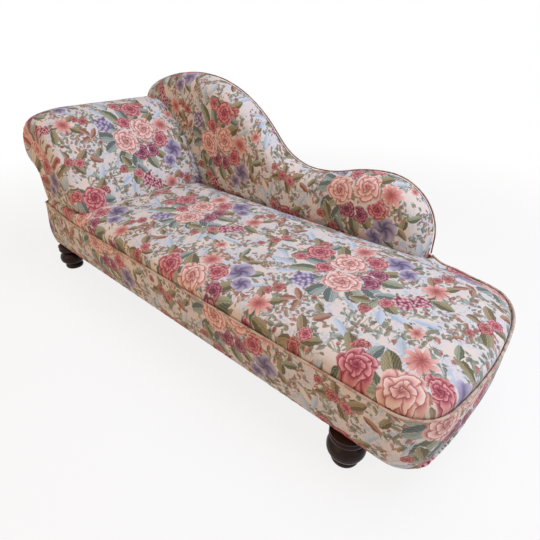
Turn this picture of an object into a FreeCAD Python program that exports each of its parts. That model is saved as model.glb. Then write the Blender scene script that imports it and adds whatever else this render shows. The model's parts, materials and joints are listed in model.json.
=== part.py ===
"""Fainting couch: scroll headrest, serpentine back, bowed foot end, four bun feet.

Millimetres. X runs from the head end to the foot end, Y from the open front to the back, Z up.
The origin is on the floor under the middle of the couch. A place along the couch is written as u,
measured from the head end of the base, and a place across it as v, measured from the front piping.
"""
import FreeCAD, Part
import math
import os
import re
import Sketcher

Vector = FreeCAD.Vector

# Driving dimensions: lengths in millimetres, angles in degrees
SIZES = {
    # Plan of the base at the piping
    "base_length": 1746, "base_depth": 693,
    "front_corner_radius": 102, "front_corner_flare": 12,
    "rear_corner_radius": 275, "rear_corner_flare": 8,
    # Heights
    "foot_height": 112, "border_height": 182, "rail_height": 150,
    # Border and trim
    "border_draw": 24, "head_swell": 11, "head_seam": 2,
    "cover_thick": 2, "piping_radius": 4, "piping_seat": 1, "welt_radius": 3,
    # Base frame
    "rail_thick": 28, "rail_setback": 34, "rear_rail_thick": 52, "head_rail_setback": 14,
    "cross_rail_head_place": 340, "cross_rail_middle_place": 905, "cross_rail_foot_inset": 331,
    "cross_rail_drop": 50, "block_size": 60, "block_height": 55,
    # Seat suspension
    "clip_thick": 1.2, "clip_width": 20, "clip_length": 18,
    "spring_wire": 3.8, "spring_swing": 22, "spring_bend": 11, "spring_pitch": 130, "spring_count": 8,
    "webbing_width": 55, "webbing_thick": 1.5, "webbing_count": 4, "hessian_thick": 1.5,
    "dust_cover_thick": 1,
    # Seat crown: its rise, and how far in from each edge its top begins
    "seat_crown": 58, "crown_reach_front": 118, "crown_reach_rear": 255, "crown_reach_head": 380,
    # Feet
    "foot_head_place": 79, "foot_toe_inset": 219,
    "glide_thick": 4, "glide_radius": 15, "bun_radius": 50, "bun_height": 54, "disc_radius": 36,
    "disc_height": 20, "notch_height": 4, "neck_radius": 32, "neck_height": 3, "collar_radius": 47,
    "bolt_radius": 4, "bolt_in_foot": 50, "bolt_in_rail": 48,
    # Headrest
    "panel_place": 6, "roll_overhang": 78, "roll_radius": 159.4, "roll_height": 510,
    "roll_neck_turn": 72, "roll_end_slope": 50, "slope_radius": 1150, "slope_turn": 15,
    "slope_foot_radius": 60, "headrest_front": 28, "scroll_front": 40, "scroll_setback": 40,
    "scroll_thick": 25, "panel_pad_thick": 8, "facing_thick": 6, "facing_edge": 12,
    "seam_cord_radius": 2.5, "headrest_rail_size": 40,
    "pad_edge_depth": 60, "pad_edge_draw": 34, "pad_rear_depth": 30, "pad_rear_draw": 15,
    # Back
    "back_setback": 101, "back_head_turn": 45, "back_shoulder_height": 596,
    "back_shoulder_radius": 125, "back_shoulder_turn": 66, "back_crown_radius": 740,
    "back_fall_start": 9.5, "back_fall_radius": 550, "back_fall_slope": 47, "back_fall_line": 50,
    "back_neck_radius": 240, "back_dip_radius": 450, "back_dip_turn": 18, "back_rise_radius": 500,
    "back_hump_radius": 190, "back_edge_depth": 72, "back_edge_draw": 62, "back_pad_depth": 53,
    "back_panel_thick": 12, "back_panel_inset": 8,
    "back_post_width": 45, "back_post_thick": 24, "back_post_head_place": 60,
    "back_post_middle_place": 640, "back_post_toe_place": 1300, "back_cover_setback": 6.2,
}

# Levels in each rounded edge, and how sharply the seat rises at its front, head and rear
ROUND_LEVELS = 6
FRONT_RISE = 1.3
HEAD_RISE = 0.6
REAR_RISE = 0.35
# How fast the border swells out from its lower edge, and where on a half wave its head end starts
BORDER_SWELL = 2.3
HEAD_WAVE = 0.2
# Clearance between soft pieces that press on each other along curved faces
SOFT_GAP = 0.3

doc = FreeCAD.newDocument("fainting_couch")
sheet = doc.addObject("Spreadsheet::Sheet", "Sizes")
for row, (name, value) in enumerate(SIZES.items(), start=1):
    sheet.set("A%d" % row, name)
    sheet.set("B%d" % row, str(value))
    sheet.setAlias("B%d" % row, name)
doc.recompute()
size = {name: float(sheet.get(name)) for name in SIZES}

TERM = re.compile(r"([+-]?)\s*([a-z_]+|[0-9.]+)(?:\s*/\s*([0-9]+))?")


def total(text):
    """Value of a sum of named sizes, such as "foot_height + rail_thick / 2"."""
    result = 0.0
    for sign, term, divisor in TERM.findall(text):
        value = size[term] if term in size else float(term)
        value = value / float(divisor or 1)
        result += -value if sign == "-" else value
    return result


def bound(text):
    """The same sum as an expression that reads the sheet."""
    return re.sub(r"[a-z_]+", lambda found: "Sizes." + found.group(0), text)


def minus(text):
    """The sum taken away: every sign turned round."""
    turned = text.replace("-", "~").replace("+", "-").replace("~", "+")
    return " - " + turned


# Sums of sizes that several pieces share
RAIL_TOP = "foot_height + rail_height"
CLIP_TOP = RAIL_TOP + " + clip_thick"
HESSIAN_BOTTOM = CLIP_TOP + " + spring_wire"
DECK = HESSIAN_BOTTOM + " + hessian_thick"
PIPING = "foot_height + border_height"
FRONT_RAIL_AXIS = "rail_setback + rail_thick / 2"
FRONT_RAIL_INSIDE = "rail_setback + rail_thick"
REAR_RAIL_FACE = "base_depth - cover_thick - rear_rail_thick"
FRONT_CLIP_AXIS = FRONT_RAIL_INSIDE + " - clip_length / 2"
REAR_CLIP_AXIS = REAR_RAIL_FACE + " + clip_length / 2"
HEAD_BLOCK = "head_rail_setback + rail_thick"
CROSS_RAILS = {"head": "cross_rail_head_place", "middle": "cross_rail_middle_place",
               "foot": "base_length - cross_rail_foot_inset"}
TOE_BLOCK = CROSS_RAILS["foot"] + " + rail_thick"
FOOT_TOE = "base_length - foot_toe_inset"
BACK_FRONT = "base_depth - back_setback"
BACK_PANEL_FRONT = BACK_FRONT + " + back_pad_depth"
BACK_POST_FRONT = BACK_PANEL_FRONT + " + back_panel_thick"
SCROLL_REAR_FACE = BACK_FRONT + " - scroll_thick - pad_rear_draw / 2"
BACK_REAR = "base_depth - cover_thick - welt_radius"
# The piping stands proud of the foot end, and equally of the front and back, and the roll overhangs
# the head end
MIDDLE_U = "base_length / 2 + piping_radius / 2 - piping_seat / 2 - roll_overhang / 2"
MIDDLE_V = "base_depth / 2"


def place(u, v, z):
    """A point of the couch from its places along, across and up."""
    return Vector(u - total(MIDDLE_U), v - total(MIDDLE_V), z)


def at_height(z):
    return lambda pair: place(pair[0], pair[1], z)


def at_depth(v):
    return lambda pair: place(pair[0], v, pair[1])


def bind_place(piece, u, v, z):
    """Put a primitive at a place given as three sums of sizes."""
    piece.setExpression("Placement.Base.x", bound(u + minus(MIDDLE_U)))
    piece.setExpression("Placement.Base.y", bound(v + minus(MIDDLE_V)))
    piece.setExpression("Placement.Base.z", bound(z))


def box(name, u, v, z, along, across, high):
    """A block with its low corner at (u, v, z)."""
    piece = doc.addObject("Part::Box", name)
    piece.setExpression("Length", bound(along))
    piece.setExpression("Width", bound(across))
    piece.setExpression("Height", bound(high))
    bind_place(piece, u, v, z)
    return piece


def cylinder(name, u, v, z, radius, high):
    """An upright round piece with its base centre at (u, v, z)."""
    piece = doc.addObject("Part::Cylinder", name)
    piece.setExpression("Radius", bound(radius))
    piece.setExpression("Height", bound(high))
    bind_place(piece, u, v, z)
    return piece


def cut(name, base, tool):
    piece = doc.addObject("Part::Cut", name)
    piece.Base = base
    piece.Tool = tool
    return piece


def compound(name, pieces):
    piece = doc.addObject("Part::Compound", name)
    piece.Links = pieces
    return piece


def feature(name, shape):
    """A piece whose curved shape is worked out here from the sizes."""
    piece = doc.addObject("Part::Feature", name)
    piece.Shape = shape
    piece.Placement = FreeCAD.Placement()
    return piece


def region(u1, u2, v1, v2, z1, z2):
    """A plain block between limits, for parting one form from the next."""
    return Part.makeBox(u2 - u1, v2 - v1, z2 - z1, place(u1, v1, z1))


# Smooth outlines of lines and arcs

def chain(start, heading, steps, inset=0.0):
    """Edges of a path of lines and arcs that meet smoothly, moved to its right by the inset.

    A step is (length, None) for a line, or (radius, turn) for an arc, where a positive turn goes
    left and a negative one right. Points are pairs in the path's own plane.
    """
    angle = math.radians(heading)
    x = start[0] + inset * math.sin(angle)
    y = start[1] - inset * math.cos(angle)
    edges = []
    for amount, turn in steps:
        if turn is None:
            onward = (x + amount * math.cos(angle), y + amount * math.sin(angle))
            edges.append(((x, y), None, onward))
            x, y = onward
            continue
        side = math.copysign(1.0, turn)
        radius = (amount + side * inset) * side
        centre = (x - radius * math.sin(angle), y + radius * math.cos(angle))
        halfway, angle = angle + math.radians(turn) / 2, angle + math.radians(turn)
        middle = (centre[0] + radius * math.sin(halfway), centre[1] - radius * math.cos(halfway))
        onward = (centre[0] + radius * math.sin(angle), centre[1] - radius * math.cos(angle))
        edges.append(((x, y), middle, onward))
        x, y = onward
    return edges


def wire(edges, to_space):
    """A wire through chain edges, where to_space turns a pair into a point."""
    curves = []
    for first, middle, last in edges:
        if middle is None:
            curves.append(Part.LineSegment(to_space(first), to_space(last)).toShape())
        else:
            curves.append(Part.Arc(to_space(first), to_space(middle), to_space(last)).toShape())
    return Part.Wire(curves)


def closed(edges):
    """The chain with one more line back to its start."""
    return edges + [(edges[-1][2], None, edges[0][0])]


def prism(edges, to_space, direction):
    return Part.Face(wire(closed(edges), to_space)).extrude(direction)


def slab(edges, v1, v2):
    """An upright outline made solid from one depth to another."""
    return prism(edges, at_depth(v1), Vector(0, v2 - v1, 0))


def loft(sections):
    """A solid through (edges, to_space) sections, straight from each to the next."""
    wires = [wire(closed(edges), to_space) for edges, to_space in sections]
    return Part.makeLoft(wires, True, True)


def rounding(depth, draw):
    """Depths and draws of a rounded edge, from the outer face to full size."""
    levels = []
    for level in range(ROUND_LEVELS + 1):
        angle = math.radians(90 * level / ROUND_LEVELS)
        levels.append((depth * (1 - math.cos(angle)), draw * (1 - math.sin(angle))))
    return levels


def tube(edges, to_space, radius):
    """A round cord along a chain."""
    path = wire(edges, to_space)
    first, after = to_space(edges[0][0]), to_space(edges[0][2])
    ring = Part.Wire(Part.Circle(first, after - first, radius).toShape())
    return path.makePipeShell([ring], True, True)


# Base

def plan(front, rear, end, head):
    """Base outline, drawn in by four amounts, from the head end's front corner to its rear one."""
    flare = math.radians(size["front_corner_flare"])
    flare_rear = math.radians(size["rear_corner_flare"])
    corner = max(size["front_corner_radius"] - max(front, end), size["cover_thick"])
    corner_rear = size["rear_corner_radius"] - (rear + end) / 2
    across = size["base_depth"] - front - rear
    across -= corner * (1 - math.sin(flare)) + corner_rear * (1 - math.sin(flare_rear))
    bow = across / (math.sin(flare) + math.sin(flare_rear))
    reach = corner * math.cos(flare) + bow * (1 - math.cos(flare))
    steps = [(size["base_length"] - end - reach - head, None)]
    steps.append((corner, 90 - size["front_corner_flare"]))
    steps.append((bow, size["front_corner_flare"] + size["rear_corner_flare"]))
    steps.append((corner_rear, 90 - size["rear_corner_flare"]))
    edges = chain((head, front), 0, steps)
    edges.append((edges[-1][2], None, (head, size["base_depth"] - rear)))
    return edges


def rail_plan(head):
    """Outside of the base frame from the given head end on."""
    return plan(size["rail_setback"], size["cover_thick"], size["rail_setback"], head)


OUTLINE = plan(0, 0, 0, 0)
CORNER_START = OUTLINE[1][0]
BOW_START = OUTLINE[2][0]
REAR_CORNER_START = OUTLINE[3][0]
REAR_CORNER_END = OUTLINE[3][2]
FAR = 4 * size["base_length"]

FOOT_PLACES = {
    "head_front": ("foot_head_place", FRONT_RAIL_AXIS),
    "toe_front": (FOOT_TOE, FRONT_RAIL_AXIS),
    "head_rear": ("foot_head_place", REAR_RAIL_FACE + " - block_size / 2"),
    "toe_rear": (TOE_BLOCK + " + block_size / 2", REAR_RAIL_FACE + " - block_size / 2"),
}
BOLTS = {}


def make_foot(name, u, v):
    """A turned bun foot on a low disc, bored for its hanger bolt."""
    body = doc.addObject("PartDesign::Body", name)
    sketch = body.newObject("Sketcher::SketchObject", name + "_profile")
    plane = [item for item in body.Origin.OriginFeatures if item.Role == "XZ_Plane"][0]
    sketch.AttachmentSupport = [(plane, "")]
    sketch.MapMode = "FlatFace"
    disc_top = "glide_thick + disc_height"
    notch_top = disc_top + " + notch_height"
    bun_top = notch_top + " + bun_height"
    collar_bottom = bun_top + " + neck_height"
    bore_bottom = "foot_height - bolt_in_foot"
    corners = [("0", "glide_thick"), ("neck_radius", "glide_thick"), ("neck_radius", disc_top),
               ("neck_radius", notch_top), ("neck_radius", bun_top), ("neck_radius", collar_bottom),
               ("collar_radius", collar_bottom), ("collar_radius", "foot_height"),
               ("bolt_radius", "foot_height"), ("bolt_radius", bore_bottom), ("0", bore_bottom)]
    # Swelling stretches by the corner they start from: widest radius and height
    swells = {1: ("disc_radius", "disc_height"), 3: ("bun_radius", "bun_height")}
    points = [Vector(total(radius), total(height), 0) for radius, height in corners]
    count = len(points)
    for index, start in enumerate(points):
        end = points[(index + 1) % count]
        if index in swells:
            widest = Vector(total(swells[index][0]), (start.y + end.y) / 2, 0)
            sketch.addGeometry(Part.Arc(start, widest, end), False)
        else:
            sketch.addGeometry(Part.LineSegment(start, end), False)
    for index in range(count):
        sketch.addConstraint(Sketcher.Constraint("Coincident", index, 2, (index + 1) % count, 1))

    def tie(edge, end, kind, text):
        if text == "0":
            sketch.addConstraint(Sketcher.Constraint("PointOnObject", edge, end, -2))
            return
        label = "%s_%d_%d" % (kind, edge, end)
        index = sketch.addConstraint(Sketcher.Constraint(kind, -1, 1, edge, end, total(text)))
        sketch.renameConstraint(index, label)
        sketch.setExpression("Constraints." + label, bound(text))

    for index, (radius, height) in enumerate(corners):
        # A swelling stretch is tied through the end of the line before it
        edge, end = (index - 1, 2) if index in swells else (index, 1)
        tie(edge, end, "DistanceX", radius)
        tie(edge, end, "DistanceY", height)
    for index, (radius, height) in swells.items():
        label = "swell_%d" % index
        proud = "(Sizes.%s - Sizes.neck_radius)" % radius
        rise = "(Sizes.%s / 2)" % height
        bulge = sketch.Geometry[index].Radius
        curve = sketch.addConstraint(Sketcher.Constraint("Radius", index, bulge))
        sketch.renameConstraint(curve, label)
        sketch.setExpression("Constraints." + label, "(%s^2 + %s^2) / (2 * %s)" % (rise, proud, proud))
    doc.recompute()
    turning = body.newObject("PartDesign::Revolution", name + "_turning")
    turning.Profile = (sketch, [""])
    turning.ReferenceAxis = (sketch, ["V_Axis"])
    turning.Angle = 360
    bind_place(body, u, v, "0")


def make_feet():
    """Four feet, their nail glides and their hanger bolts."""
    glides = []
    for where, (u, v) in FOOT_PLACES.items():
        make_foot("foot_" + where, u, v)
        glides.append(cylinder("glide_" + where, u, v, "0", "glide_radius", "glide_thick"))
        BOLTS[where] = cylinder("bolt_" + where, u, v, "foot_height - bolt_in_foot", "bolt_radius",
                                "bolt_in_foot + bolt_in_rail")
    compound("foot_glides", glides)
    compound("hanger_bolts", list(BOLTS.values()))


def make_rails():
    """Long rails, head rail, cross rails and the three bent rails of the foot end."""
    head_in = size["head_rail_setback"]
    outer = rail_plan(head_in)
    inset = total(FRONT_RAIL_INSIDE)
    inner = plan(inset, total("cover_thick + rail_thick"), inset, head_in)
    bottom = size["foot_height"]
    height = size["rail_height"]
    thick = size["rail_thick"]
    blank = Part.makeBox(outer[0][2][0] - head_in, thick, height,
                         place(head_in, size["rail_setback"], bottom))
    bores = compound("front_rail_bores", [BOLTS["head_front"], BOLTS["toe_front"]])
    cut("rail_front", feature("front_rail_blank", blank), bores)
    feature("rail_back", Part.makeBox(outer[3][2][0] - head_in, size["rear_rail_thick"], height,
                                      place(head_in, total(REAR_RAIL_FACE), bottom)))
    for name, step in (("front_corner", 1), ("middle", 2), ("rear_corner", 3)):
        backwards = (inner[step][2], inner[step][1], inner[step][0])
        edges = [outer[step], (outer[step][2], None, backwards[0]), backwards]
        feature("foot_rail_" + name, prism(edges, at_height(bottom), Vector(0, 0, height)))
    between = REAR_RAIL_FACE + minus(FRONT_RAIL_INSIDE)
    box("rail_head", "head_rail_setback", FRONT_RAIL_INSIDE, "foot_height",
        "rail_thick", between, "rail_height")
    for name, drop in (("head", "0"), ("middle", "cross_rail_drop"), ("foot", "0")):
        box("cross_rail_" + name, CROSS_RAILS[name], FRONT_RAIL_INSIDE, "foot_height",
            "rail_thick", between, "rail_height - " + drop)


def make_corner_blocks():
    """Glued blocks in the frame's corners. The rear ones take the rear feet's bolts."""
    for end, along in (("head", HEAD_BLOCK), ("toe", FOOT_TOE + " - block_size / 2")):
        box("corner_block_%s_front" % end, along, FRONT_RAIL_INSIDE, "foot_height",
            "block_size", "block_size", "block_height")
    for end, along in (("head", HEAD_BLOCK), ("toe", TOE_BLOCK)):
        blank = box("rear_block_blank_" + end, along, REAR_RAIL_FACE + " - block_size", "foot_height",
                    "block_size", "block_size", "block_height")
        cut("corner_block_%s_rear" % end, blank, BOLTS[end + "_rear"])


def zigzag():
    """Wire of one seat spring, from its front end, and its length across the couch."""
    bend = size["spring_bend"]
    half = size["spring_swing"] - bend
    bends = int(total(REAR_CLIP_AXIS + minus(FRONT_CLIP_AXIS)) / (2 * bend))
    curves = []
    y, side = 0.0, 1
    for _ in range(bends):
        end = Vector(side * half, y, 0)
        beyond = Vector(side * (half + bend), y + bend, 0)
        after = Vector(side * half, y + 2 * bend, 0)
        curves.append(Part.LineSegment(Vector(-side * half, y, 0), end).toShape())
        curves.append(Part.Arc(end, beyond, after).toShape())
        y += 2 * bend
        side = -side
    curves.append(Part.LineSegment(Vector(-side * half, y, 0), Vector(side * half, y, 0)).toShape())
    return Part.Wire(curves), Vector(-half, 0, 0), y


def make_springs():
    """Zigzag springs across the seat, each end in a clip on a long rail."""
    path, start, length = zigzag()
    ring = Part.Wire(Part.Circle(start, Vector(1, 0, 0), size["spring_wire"] / 2).toShape())
    spring = path.makePipeShell([ring], True, True)
    front = (total(FRONT_CLIP_AXIS) + total(REAR_CLIP_AXIS) - length) / 2
    springs = []
    clips = []
    for index in range(int(size["spring_count"])):
        u = size["cross_rail_head_place"] + size["spring_pitch"] * (index + 1)
        copy = spring.copy()
        copy.translate(place(u, front, total(CLIP_TOP + " + spring_wire / 2")))
        springs.append(copy)
        for v in (total(FRONT_CLIP_AXIS), total(REAR_CLIP_AXIS)):
            corner = place(u - size["clip_width"] / 2, v - size["clip_length"] / 2, total(RAIL_TOP))
            clips.append(Part.makeBox(size["clip_width"], size["clip_length"], size["clip_thick"], corner))
    feature("seat_springs", Part.makeCompound(springs))
    feature("spring_clips", Part.makeCompound(clips))


def make_deck():
    """Webbing over the foot end, the hessian on top and the dust cover underneath."""
    rail = total(FRONT_RAIL_AXIS)
    start = total(CROSS_RAILS["foot"])
    limit = plan(rail, total("rear_rail_thick / 2"), rail, start)
    within = prism(limit, at_height(total(RAIL_TOP)), Vector(0, 0, size["webbing_thick"]))
    step = (total(REAR_RAIL_FACE) - BOW_START[1]) / size["webbing_count"]
    strips = []
    for index in range(int(size["webbing_count"])):
        v = BOW_START[1] + step * (index + 0.5) - size["webbing_width"] / 2
        strip = region(start, size["base_length"], v, v + size["webbing_width"],
                       total(RAIL_TOP), total(RAIL_TOP + " + webbing_thick"))
        strips.append(strip.common(within))
    feature("foot_webbing", Part.makeCompound(strips))
    edges = plan(size["rail_setback"], total("base_depth" + minus(BACK_POST_FRONT)),
                 size["rail_setback"], total("cross_rail_head_place + rail_thick / 2"))
    feature("seat_hessian", prism(edges, at_height(total(HESSIAN_BOTTOM)),
                                  Vector(0, 0, size["hessian_thick"])))
    thick = size["dust_cover_thick"]
    outline = rail_plan(size["head_rail_setback"])
    cloth = prism(outline, at_height(size["foot_height"] - thick), Vector(0, 0, thick))
    for u, v in FOOT_PLACES.values():
        hole = Part.makeCylinder(total("collar_radius + dust_cover_thick"), FAR,
                                 place(total(u), total(v), 0))
        cloth = cloth.cut(hole)
    feature("dust_cover", cloth)


# Upholstery of the base and seat

def border_form(skin, top):
    """The border's swelling form inside a skin, cut off at the given height."""
    low = size["foot_height"]
    high = total(PIPING + " - piping_radius")
    sections = []
    for level in range(ROUND_LEVELS + 1):
        share = level / ROUND_LEVELS
        draw = size["border_draw"] * (1 - share) ** BORDER_SWELL + skin
        wave = math.sin(math.pi * (HEAD_WAVE + (1 - HEAD_WAVE) * share))
        edges = plan(draw, skin, draw, size["head_seam"] - size["head_swell"] * wave + skin)
        sections.append((edges, at_height(low + (high - low) * share)))
    form = loft(sections)
    if top < high:
        form = form.common(region(-FAR, FAR, -FAR, FAR, 0, top))
    return form


def strips():
    """Name and block of each strip that the border falls into, parted at the outline's corners."""
    inside = size["rail_setback"]
    rear = size["base_depth"] - inside
    corner, bow = CORNER_START[0], BOW_START[1]
    rear_u, rear_v = REAR_CORNER_END[0], REAR_CORNER_START[1]
    tall = (0, 2 * total(PIPING))
    return (("front", region(-FAR, corner, -FAR, inside, *tall)),
            ("foot_front_corner", region(corner, FAR, -FAR, bow, *tall)),
            ("foot_middle", region(corner, FAR, bow, rear_v, *tall)),
            ("foot_rear_corner", region(rear_u, FAR, rear_v, FAR, *tall)),
            ("back", region(-FAR, rear_u, rear, FAR, *tall)),
            ("head", region(-FAR, inside, inside, rear, *tall)))


def make_border():
    """Cover and padding of the border, strip by strip."""
    low = size["foot_height"]
    high = total(PIPING + " - piping_radius")
    skin = size["cover_thick"]
    cover = border_form(0, high).cut(border_form(skin, high))
    core = prism(rail_plan(size["head_rail_setback"]), at_height(low), Vector(0, 0, high))
    padding = border_form(skin, total(HESSIAN_BOTTOM)).cut(core)
    for name, block in strips():
        feature("border_cover_" + name, cover.common(block))
        if name != "back":
            feature("border_padding_" + name, padding.common(block))


def seat_form(skin, bottom, edge):
    """The crowned seat inside a skin, from the bottom up, drawn in by at least the edge."""
    piping = total(PIPING)
    sections = []
    if bottom < piping:
        foot = plan(edge, edge, edge, edge)
        sections = [(foot, at_height(bottom)), (foot, at_height(piping))]
    for level in range(ROUND_LEVELS + 2):
        angle = math.radians(90 * level / (ROUND_LEVELS + 1))
        slack = 1 - math.cos(angle)
        draw = max(size["crown_reach_front"] * slack ** FRONT_RISE + skin, edge)
        rear = max(size["crown_reach_rear"] * slack ** REAR_RISE + skin, edge)
        head = max(size["crown_reach_head"] * slack ** HEAD_RISE, edge)
        rise = size["piping_radius"] + (size["seat_crown"] - skin) * math.sin(angle)
        sections.append((plan(draw, rear, draw, head), at_height(piping + rise)))
    return loft(sections)


def make_seat(headrest, back):
    """Seat pad and its cover, shaped round the headrest and the back, and the piping below."""
    clear = total("piping_radius + piping_seat + piping_seat / 2")
    rear = total(BACK_REAR)
    behind = slab(back_profile(0, total(DECK)), rear, rear + size["base_depth"])
    standing = headrest.fuse(back).fuse(behind)
    pad = seat_form(size["cover_thick"], total(DECK), clear)
    feature("seat_pad", pad.cut(standing))
    outer = seat_form(0, total(PIPING + " + piping_radius"), 0)
    feature("seat_cover", outer.cut(pad).cut(standing))
    seat = size["piping_seat"]
    route = plan(seat, seat, seat, 0)[:4]
    route.append((route[-1][2], None, (BACK_END[0], route[-1][2][1])))
    feature("base_piping", tube(route, at_height(total(PIPING)), size["piping_radius"]))


# Headrest

def roll_profile(draw, outside, bottom):
    """Upright outline of the headrest, drawn in on the pad side and on the outside panel."""
    turn = size["roll_neck_turn"]
    lean = math.radians(turn)
    swing = size["roll_overhang"] + size["panel_place"] + outside - draw
    neck = swing / (2 * (1 - math.cos(lean)))
    rise = size["roll_height"] - 2 * neck * math.sin(lean) - bottom
    steps = [(rise, None), (neck, turn), (neck, -turn),
             (size["roll_radius"] - draw, -90 - size["roll_end_slope"]),
             (size["slope_radius"] - draw, -size["slope_turn"]),
             (size["slope_foot_radius"] - draw, size["slope_turn"] + size["roll_end_slope"] - 90)]
    edges = chain((size["panel_place"] + outside, bottom), 90, steps)
    foot = edges[-1][2]
    edges.append((foot, None, (foot[0], bottom)))
    return edges


def headrest_form(skin, bottom):
    """The stuffed headrest inside a skin: rounded at its front and rear, full between."""
    sections = []
    panel = size["panel_place"]
    for deep, draw in rounding(size["pad_edge_depth"], size["pad_edge_draw"]):
        v = size["headrest_front"] + skin + deep
        sections.append((roll_profile(draw + skin, min(draw, panel) + skin, bottom), at_depth(v)))
    for deep, draw in reversed(rounding(size["pad_rear_depth"], size["pad_rear_draw"])):
        v = total(BACK_FRONT) - SOFT_GAP - skin - deep
        sections.append((roll_profile(draw + skin, skin, bottom), at_depth(v)))
    return loft(sections)


def make_headrest(form):
    """Scroll boards, rails, stuffed pad, covers and the inset facing with its seam cord."""
    front = size["scroll_front"]
    rear = total(SCROLL_REAR_FACE)
    thick = size["scroll_thick"]
    board = roll_profile(size["scroll_setback"], size["panel_pad_thick"], total(RAIL_TOP))
    boards = []
    for name, v in (("front", front), ("rear", rear)):
        boards.append(feature("scroll_board_" + name, slab(board, v, v + thick)).Shape)
    rail = "headrest_rail_size"
    between = SCROLL_REAR_FACE + " - scroll_front - scroll_thick"
    start = "scroll_front + scroll_thick"
    rails = [box("headrest_top_rail", "roll_radius - roll_overhang - headrest_rail_size / 2", start,
                 "roll_height + roll_radius - scroll_setback - headrest_rail_size - headrest_rail_size / 4",
                 rail, between, rail),
             box("headrest_head_rail", "panel_place + headrest_rail_size / 2", start, RAIL_TOP,
                 "rail_thick", between, rail),
             box("headrest_seat_rail", "cross_rail_head_place - rail_thick", start, RAIL_TOP,
                 "rail_thick", between, rail)]
    doc.recompute()
    edge = size["scroll_setback"] + size["facing_edge"]
    side = size["panel_pad_thick"] + size["facing_edge"] / 2
    recess = slab(roll_profile(edge, side, total(DECK)), front - FAR, front)
    pad = headrest_form(size["cover_thick"], total(DECK))
    stuffing = pad.cut(recess)
    for piece in boards + [item.Shape for item in rails]:
        stuffing = stuffing.cut(piece)
    feature("headrest_pad", stuffing)
    through = slab(board, front, 2 * size["base_depth"])
    skin = form.cut(headrest_form(size["cover_thick"], total(DECK + " - cover_thick")))
    skin = skin.cut(recess).cut(through)
    lean = math.radians(size["roll_neck_turn"])
    neck = (size["roll_overhang"] + size["panel_place"]) / (2 * (1 - math.cos(lean)))
    seam = size["roll_height"] - 2 * neck * math.sin(lean)
    panel = region(-FAR, total("panel_place + headrest_rail_size / 2"), -FAR, FAR, 0, seam)
    feature("headrest_outside_cover", skin.common(panel))
    feature("headrest_cover", skin.cut(panel))
    facing = roll_profile(edge + size["piping_seat"], side + size["piping_seat"], total(DECK))
    feature("headrest_facing", slab(facing, front - size["facing_thick"], front))
    cord = size["seam_cord_radius"]
    inward = cord + 3 * size["piping_seat"]
    route = roll_profile(edge + inward, side + inward, total(DECK))
    v = front - size["facing_thick"] - cord
    feature("facing_seam_cord", tube(route, at_depth(v), cord))


# Back

def back_profile(draw, bottom):
    """Serpentine outline of the back, drawn in all round, from its head end to its low hump."""
    turn = size["back_head_turn"]
    lean = math.radians(turn)
    swing = (size["roll_overhang"] + size["panel_place"]) / (2 * (1 - math.cos(lean)))
    rise = size["back_shoulder_height"] - 2 * swing * math.sin(lean) - bottom
    shoulder = size["back_shoulder_turn"]
    slope = size["back_fall_slope"]
    steps = [(rise, None), (swing, turn), (swing, -turn),
             (size["back_shoulder_radius"], -shoulder),
             (size["back_crown_radius"], shoulder - 90 - size["back_fall_start"]),
             (size["back_fall_radius"], size["back_fall_start"] - slope),
             (size["back_fall_line"], None),
             (size["back_neck_radius"], slope),
             (size["back_dip_radius"], size["back_dip_turn"]),
             (size["back_rise_radius"], -size["back_dip_turn"]),
             (size["back_hump_radius"], -90)]
    edges = chain((size["panel_place"], bottom), 90, steps, draw)
    foot = edges[-1][2]
    edges.append((foot, None, (foot[0], bottom)))
    return edges


BACK_END = back_profile(0, total(DECK))[-1][2]


def back_form(skin, bottom):
    """The back inside a skin, rounding over from its front face to its rear edge."""
    sections = []
    for deep, draw in rounding(size["back_edge_depth"], size["back_edge_draw"]):
        sections.append((back_profile(draw + skin, bottom), at_depth(total(BACK_FRONT) + skin + deep)))
    sections.append((back_profile(skin, bottom), at_depth(total(BACK_REAR))))
    return loft(sections)


def make_back(form):
    """Panel, posts, bottom rail, padding, covers and the welt along the rear edge."""
    deck = total(DECK)
    panel_front = total(BACK_PANEL_FRONT)
    post_front = total(BACK_POST_FRONT)
    rear = total(BACK_REAR)
    board = back_profile(size["back_panel_inset"], deck)
    feature("back_panel", slab(board, panel_front, post_front))
    heads = {"head": "back_shoulder_height - rail_height / 2", "middle": "back_shoulder_height",
             "toe": "back_shoulder_height - rail_height"}
    inner = []
    for where, top in heads.items():
        inner.append(box("back_post_" + where, "back_post_%s_place" % where, BACK_POST_FRONT, RAIL_TOP,
                         "back_post_width", "back_post_thick", top + minus(RAIL_TOP)))
    for name, left, right in (("head", "head", "middle"), ("toe", "middle", "toe")):
        start = "back_post_%s_place + back_post_width" % left
        inner.append(box("back_bottom_rail_" + name, start, BACK_POST_FRONT, RAIL_TOP,
                         "back_post_%s_place" % right + minus(start), "back_post_thick",
                         "back_post_width"))
    doc.recompute()
    skin = size["cover_thick"]
    whole = back_form(skin, deck)
    front_block = region(-FAR, FAR, 0, panel_front, 0, FAR)
    rear_block = region(-FAR, FAR, post_front, FAR, 0, FAR)
    feature("back_pad", whole.common(front_block))
    wadding = whole.common(rear_block)
    for item in inner:
        wadding = wadding.cut(item.Shape)
    feature("back_rear_wadding", wadding)
    lower = back_form(skin, total(DECK + " - cover_thick"))
    beyond = slab(back_profile(skin, total(DECK + " - cover_thick")), rear, rear + size["cover_thick"])
    feature("back_cover", form.cut(lower).cut(beyond))
    outside = back_profile(size["back_cover_setback"], total(PIPING + " - piping_radius"))
    feature("back_outside_cover", slab(outside, rear, rear + skin))
    route = back_profile(size["welt_radius"], total(PIPING))
    feature("back_welt", tube(route, at_depth(rear + size["welt_radius"]), size["welt_radius"]))


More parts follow.
